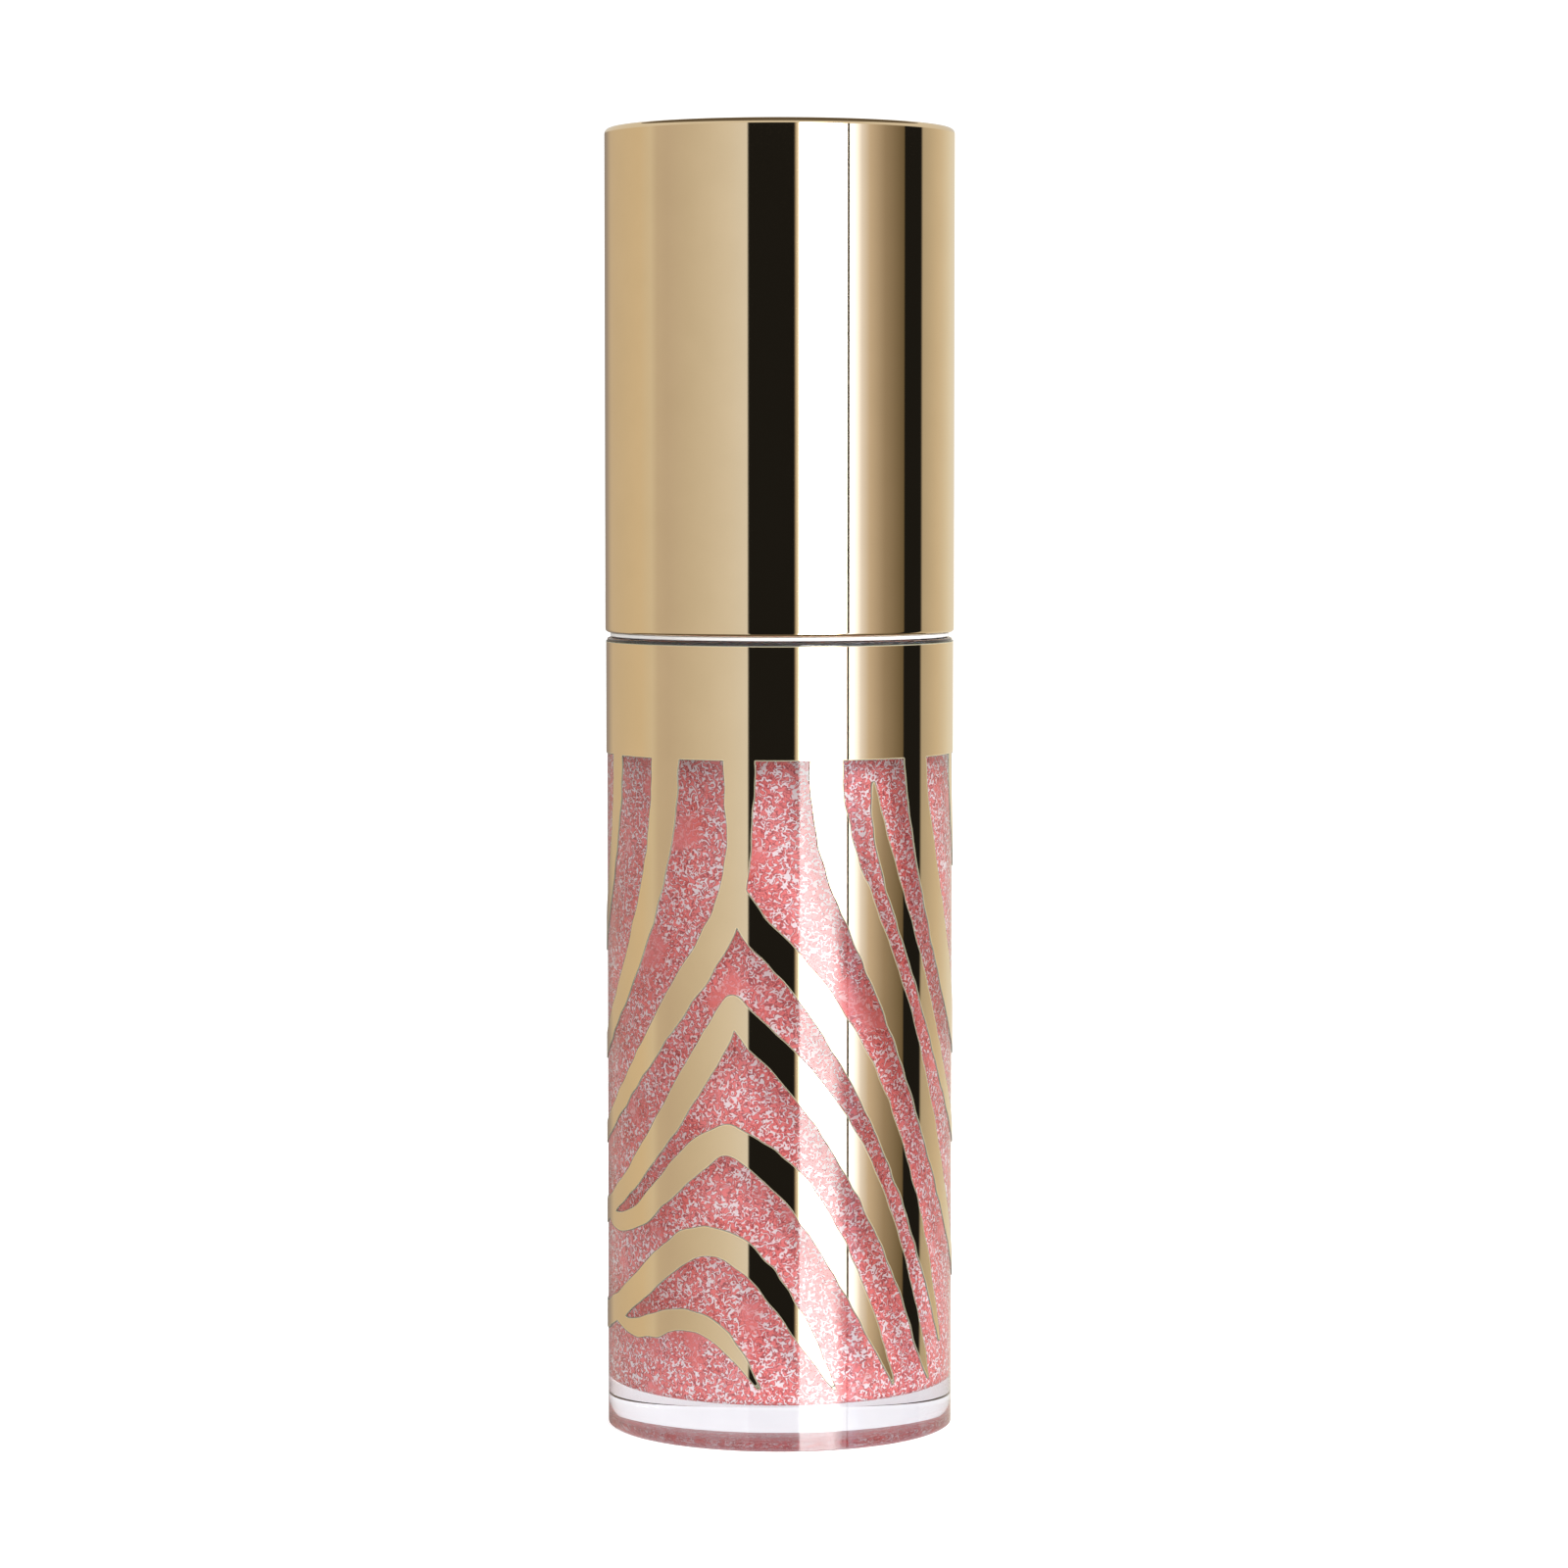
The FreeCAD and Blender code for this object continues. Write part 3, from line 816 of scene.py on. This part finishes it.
stem = lathe("stem_rod", [
    (0, SPIGOT_BOTTOM, 0), (SPIGOT_R, SPIGOT_BOTTOM, 0.2), (SPIGOT_R, TIP_TOP + GAP, 0),
    (STEM_R, TIP_TOP + GAP, 0.12), (STEM_R, COLLAR_Z, 0), (COLLAR_R, COLLAR_Z, 0.1),
    (COLLAR_R, COLLAR_Z + COLLAR_T, 0.1), (STEM_R, COLLAR_Z + COLLAR_T, 0),
    (STEM_R, STEM_TOP - 0.4, 0), (STEM_R - 0.4, STEM_TOP, 0.1), (0, STEM_TOP, 0),
], segments=SLIM_SEGMENTS)
dress(stem, NATURAL, "stem", "stem")

# ---------------------------------------------------------------- cap
shell = lathe("cap_metal", [
    (0, CAP_TOP - SHELL_T, 0), (CAP_R - SHELL_T, CAP_TOP - SHELL_T, 0.2),
    (CAP_R - SHELL_T, CAP_LOW, 0.1), (CAP_R, CAP_LOW, 0.2), (CAP_R, CAP_TOP, 0.3), (0, CAP_TOP, 0),
])
dress(shell, CAP_GOLD, "cap", "cap_shell")

liner = lathe("cap_liner", [
    (LINER_BORE_R, LINER_LOW, 0.08), (LINER_RIM_R, LINER_LOW, 0.08),
    (LINER_RIM_R, CAP_LOW - FIT, 0.05), (LINER_R, CAP_LOW - FIT, 0), (LINER_R, LINER_TOP, 0.1),
    (LINER_BORE_R, LINER_TOP, 0.1), (LINER_BORE_R, DECK_TOP, 0.3), (BOSS_R, DECK_TOP, 0.4),
    (BOSS_R, BOSS_TOP, 0.2), (0, BOSS_TOP, 0), (0, STEM_TOP + GAP, 0),
    (STEM_R + GAP, STEM_TOP + GAP, 0), (STEM_R + GAP, COLLAR_Z + COLLAR_T + GAP, 0),
    (COLLAR_R + GAP, COLLAR_Z + COLLAR_T + GAP, 0), (COLLAR_R + GAP, COLLAR_Z - GAP, 0),
    (STEM_R + GAP, COLLAR_Z - GAP, 0), (STEM_R + GAP, DECK_Z, 0), (FEMALE_BORE_R, DECK_Z, 0.2),
    (FEMALE_BORE_R, LINER_LOW, 0.15), (SOCKET_R, LINER_LOW, 0.1), (SOCKET_R, SOCKET_TOP, 0.3),
    (LINER_BORE_R, SOCKET_TOP, 0.3),
])
# painted shade: the liner faces in the seam gap take the separate grey tone
seam_shade_faces = [face.index for face in liner.data.polygons
             if face.center.z < (CAP_LOW + 0.1) * MM and face.center.xy.length > 9.3 * MM]
female_start_z = MALE_START_Z - FEMALE_DROP + PITCH * FEMALE_START_DEG / 360
inner_ridge = thread_ridge("cap_thread", FEMALE_BORE_R + THREAD_ROOT, FEMALE_CREST_R,
                           female_start_z, FEMALE_START_DEG, FEMALE_TURNS)
liner = joined("cap_liner_with_thread", [liner, inner_ridge])
dress(liner, NATURAL, "cap", "inner_cap")
liner.data.materials.append(RIM_SHADE)
for index in seam_shade_faces:
    liner.data.polygons[index].material_index = 1


# ---------------------------------------------------------------- applicator tip
def slanted_core():
    """Rounded body of the tip with one slanted face, evened out for the fibres."""
    core = lathe("flocked_tip", [
        (0, CORE_BOTTOM, 0), (CORE_R, CORE_BOTTOM, 1.95), (CORE_R, TIP_TOP - 2.0, 0.3),
        (STEM_R + 0.1, TIP_TOP - 0.1, 0.1), (0, TIP_TOP - 0.1, 0),
    ], segments=SLIM_SEGMENTS)
    slant = math.radians(TIP_SLANT_DEG)
    slant_normal = Vector((0, math.cos(slant), math.sin(slant)))
    slant_foot = Vector((0, 1.02, TIP_BOTTOM)) * MM
    bm = bmesh.new()
    bm.from_mesh(core.data)
    cut = bmesh.ops.bisect_plane(
        bm, geom=bm.verts[:] + bm.edges[:] + bm.faces[:], dist=1e-6,
        plane_co=slant_foot, plane_no=slant_normal, clear_inner=True)
    open_edges = [e for e in cut["geom_cut"] if isinstance(e, bmesh.types.BMEdge)]
    bmesh.ops.holes_fill(bm, edges=open_edges)
    bm.to_mesh(core.data)
    bm.free()
    for kind, settings in (
        ("REMESH", {"mode": "VOXEL", "voxel_size": 0.11 * MM}),
        ("SMOOTH", {"factor": 0.5, "iterations": 8}),
    ):
        modifier = core.modifiers.new(kind.lower(), kind)
        for key, value in settings.items():
            setattr(modifier, key, value)
        with bpy.context.temp_override(object=core):
            bpy.ops.object.modifier_apply(modifier=modifier.name)
    core.data.shade_smooth()
    return core


def flock_fibres(surface, count=3600, foot=0.016, shortest=0.07, longest=0.12):
    """Short leaning spikes spread evenly over a mesh."""
    random.seed(7)
    areas = [face.area for face in surface.polygons]
    vertices = []
    faces = []
    for face in random.choices(list(surface.polygons), weights=areas, k=count):
        root = face.center / MM
        lean = Vector([random.uniform(-1, 1) for _ in range(3)]) * 0.5
        tip = root + (face.normal + lean).normalized() * random.uniform(shortest, longest)
        side = face.normal.orthogonal().normalized() * foot
        other = face.normal.cross(side).normalized() * foot
        first = len(vertices)
        vertices += [tuple(root + side), tuple(root - side / 2 + other),
                     tuple(root - side / 2 - other), tuple(tip)]
        faces += [(first, first + 1, first + 3), (first + 1, first + 2, first + 3),
                  (first + 2, first, first + 3)]
    return new_object("flock_fibres", vertices, faces)


tip_core = slanted_core()
tip_piece = joined("flocked_tip", [tip_core, flock_fibres(tip_core.data)])
dress(tip_piece, FLOCK, "cap", "applicator_tip")

# ---------------------------------------------------------------- stage
def stage_object(name, vertices, faces, mats):
    """Stage mesh in metres."""
    mesh = bpy.data.meshes.new(name)
    mesh.from_pydata(vertices, [], faces)
    for mat in mats:
        mesh.materials.append(mat)
    obj = bpy.data.objects.new(name, mesh)
    bpy.context.scene.collection.objects.link(obj)
    return obj


def pale_floor():
    mat, _, _, shader = material("pale_floor")
    shader.inputs["Base Color"].default_value = (0.62, 0.62, 0.62, 1)
    shader.inputs["Emission Color"].default_value = (1, 1, 1, 1)
    shader.inputs["Emission Strength"].default_value = 0.5
    shader.inputs["Roughness"].default_value = 0.9
    half, z = 6, -2e-5
    corners = [(-half, -half, z), (half, -half, z), (half, half, z), (-half, half, z)]
    floor = stage_object("floor", corners, [(0, 1, 2, 3)], [mat])
    floor.visible_glossy = False


# Light tent: vertical strips of light all round, seen only in reflections. Each stop is
# (azimuth in degrees from the front towards +X, brightness colour).
DARK = (0.012, 0.012, 0.012)
TENT = [
    (-180, (0.30, 0.27, 0.24)), (-159, (0.34, 0.29, 0.25)), (-146, (0.57, 0.49, 0.38)),
    (-126, (0.60, 0.525, 0.415)), (-104, (0.64, 0.56, 0.44)), (-93, (0.64, 0.595, 0.51)),
    (-87, (0.55, 0.495, 0.43)), (-78, (0.535, 0.48, 0.42)), (-62, (0.58, 0.535, 0.47)),
    (-47, (0.635, 0.60, 0.545)), (-33, (0.69, 0.67, 0.64)), (-20.8, (0.72, 0.73, 0.75)),
    (-20.2, DARK), (0, DARK), (9.6, DARK), (10.6, (0.50, 0.44, 0.36)), (12.5, (0.9, 0.9, 0.9)),
    (13.5, (12, 12, 12)), (35, (12, 12, 12)), (42.5, (2.3, 2.3, 2.4)), (48.5, (1.7, 1.9, 2.4)),
    (55, (0.82, 0.84, 0.95)), (61, (0.58, 0.515, 0.45)),
    (73, (0.32, 0.27, 0.21)), (89, (0.15, 0.12, 0.075)), (90, DARK), (106, DARK),
    (108, (0.46, 0.42, 0.35)), (128, (0.63, 0.56, 0.45)), (150, (0.75, 0.72, 0.62)),
    (180, (0.8, 0.72, 0.58)),
]
SLIT_DEG = 45.6
SLIT_HALF_DEG = 0.7
UPPER_LIGHT = (0.68, 0.66, 0.62, 1.0)
UPPER_FROM = 0.22
UPPER_FULL = 0.30
LID_LIGHT = (0.13, 0.11, 0.085, 1)
TENT_R = 2.0
TENT_LOW = -1.2
TENT_HIGH = 1.6


def light_only(name):
    """Material that only gives light: its nodes, links and the socket for the colour."""
    mat = bpy.data.materials.new(name)
    mat.use_nodes = True
    nodes = mat.node_tree.nodes
    links = mat.node_tree.links
    nodes.clear()
    emission = nodes.new("ShaderNodeEmission")
    out = nodes.new("ShaderNodeOutputMaterial")
    links.new(emission.outputs[0], out.inputs["Surface"])
    return mat, nodes, links, emission.inputs["Color"]


def tent_half(nodes, links, degrees, low, high):
    """Colour ramp over one half of the tent, with its end colours held outside."""
    span = math_node(nodes, links, "SUBTRACT", degrees, low)
    factor = math_node(nodes, links, "DIVIDE", span, high - low)
    stops = [((a - low) / (high - low), c) for a, c in TENT if low <= a <= high]
    return ramp(nodes, links, factor, stops)


def tent_wall_light():
    """The strips, a thin dark slit, and one plain light above UPPER_FROM."""
    mat, nodes, links, socket = light_only("tent_light")
    coord = nodes.new("ShaderNodeTexCoord")
    split = nodes.new("ShaderNodeSeparateXYZ")
    links.new(coord.outputs["Object"], split.inputs[0])
    back = math_node(nodes, links, "MULTIPLY", split.outputs["Y"], -1)
    angle = math_node(nodes, links, "ARCTAN2", split.outputs["X"], back)
    degrees = math_node(nodes, links, "DEGREES", angle)
    side = math_node(nodes, links, "GREATER_THAN", degrees, 0)
    colour = blend(nodes, links, side, tent_half(nodes, links, degrees, -180, 0),
                   tent_half(nodes, links, degrees, 0, 180))
    slit = math_node(nodes, links, "COMPARE", degrees, SLIT_DEG, SLIT_HALF_DEG)
    colour = blend(nodes, links, slit, colour, (*DARK, 1.0))
    rise = nodes.new("ShaderNodeMapRange")
    rise.inputs["From Min"].default_value = UPPER_FROM
    rise.inputs["From Max"].default_value = UPPER_FULL
    links.new(split.outputs["Z"], rise.inputs["Value"])
    links.new(blend(nodes, links, rise.outputs[0], colour, UPPER_LIGHT), socket)
    return mat


def light_tent():
    """Closed drum round the tube: the lit wall, a floor and a lid."""
    vertices = []
    faces = []
    for k in range(361):
        a = math.radians(k - 180)
        for z in (TENT_LOW, TENT_HIGH):
            vertices.append((TENT_R * math.sin(a), -TENT_R * math.cos(a), z))
    for k in range(360):
        faces.append((2 * k, 2 * k + 2, 2 * k + 3, 2 * k + 1))
    wall_faces = len(faces)
    for start, z in enumerate((TENT_LOW, TENT_HIGH)):
        centre = len(vertices)
        vertices.append((0, 0, z))
        faces.extend((2 * k + start, 2 * k + 2 + start, centre) for k in range(360))
    lid_mat, _, _, lid_colour = light_only("tent_lid")
    lid_colour.default_value = LID_LIGHT
    tent = stage_object("light_tent", vertices, faces, [tent_wall_light(), lid_mat])
    for face in list(tent.data.polygons)[wall_faces:]:
        face.material_index = 1
    tent.visible_camera = False
    tent.visible_diffuse = False
    tent.visible_transmission = False
    tent.visible_shadow = False
    tent.visible_volume_scatter = False


def pale_world():
    world = bpy.data.worlds.new("pale_studio")
    bpy.context.scene.world = world
    world.use_nodes = True
    world.node_tree.nodes["Background"].inputs["Color"].default_value = (1, 1, 1, 1)
    world.node_tree.nodes["Background"].inputs["Strength"].default_value = 1.25


def softbox(name, azimuth_deg, elevation_deg, distance, size, watts):
    """Area light aimed at the middle of the tube."""
    data = bpy.data.lights.new(name, "AREA")
    data.shape = "RECTANGLE"
    data.size, data.size_y = size
    data.energy = watts
    light = bpy.data.objects.new(name, data)
    a, e = math.radians(azimuth_deg), math.radians(elevation_deg)
    aim = Vector((0, 0, 0.037))
    light.location = aim + distance * Vector((
        math.sin(a) * math.cos(e), -math.cos(a) * math.cos(e), math.sin(e)))
    light.rotation_euler = (aim - light.location).to_track_quat("-Z", "Y").to_euler()
    light.visible_camera = False
    light.visible_glossy = False
    bpy.context.scene.collection.objects.link(light)


pale_floor()
light_tent()
pale_world()
softbox("key", azimuth_deg=35, elevation_deg=25, distance=0.7, size=(0.3, 0.5), watts=8.0)

# ---------------------------------------------------------------- camera
CAMERA_AIM = Vector((0.00025, 0, 0.03683))
CAMERA_DISTANCE = 0.284
CAMERA_PITCH = math.radians(3.6)
camera_data = bpy.data.cameras.new("camera")
camera_data.sensor_width = 36
camera_data.lens = 113.4
camera_data.clip_start = 0.01
camera = bpy.data.objects.new("camera", camera_data)
camera.location = CAMERA_AIM + CAMERA_DISTANCE * Vector((
    0, -math.cos(CAMERA_PITCH), math.sin(CAMERA_PITCH)))
camera.rotation_euler = (math.radians(90) - CAMERA_PITCH, 0, 0)
bpy.context.scene.collection.objects.link(camera)
bpy.context.scene.camera = camera
bpy.context.scene.view_settings.view_transform = "Standard"
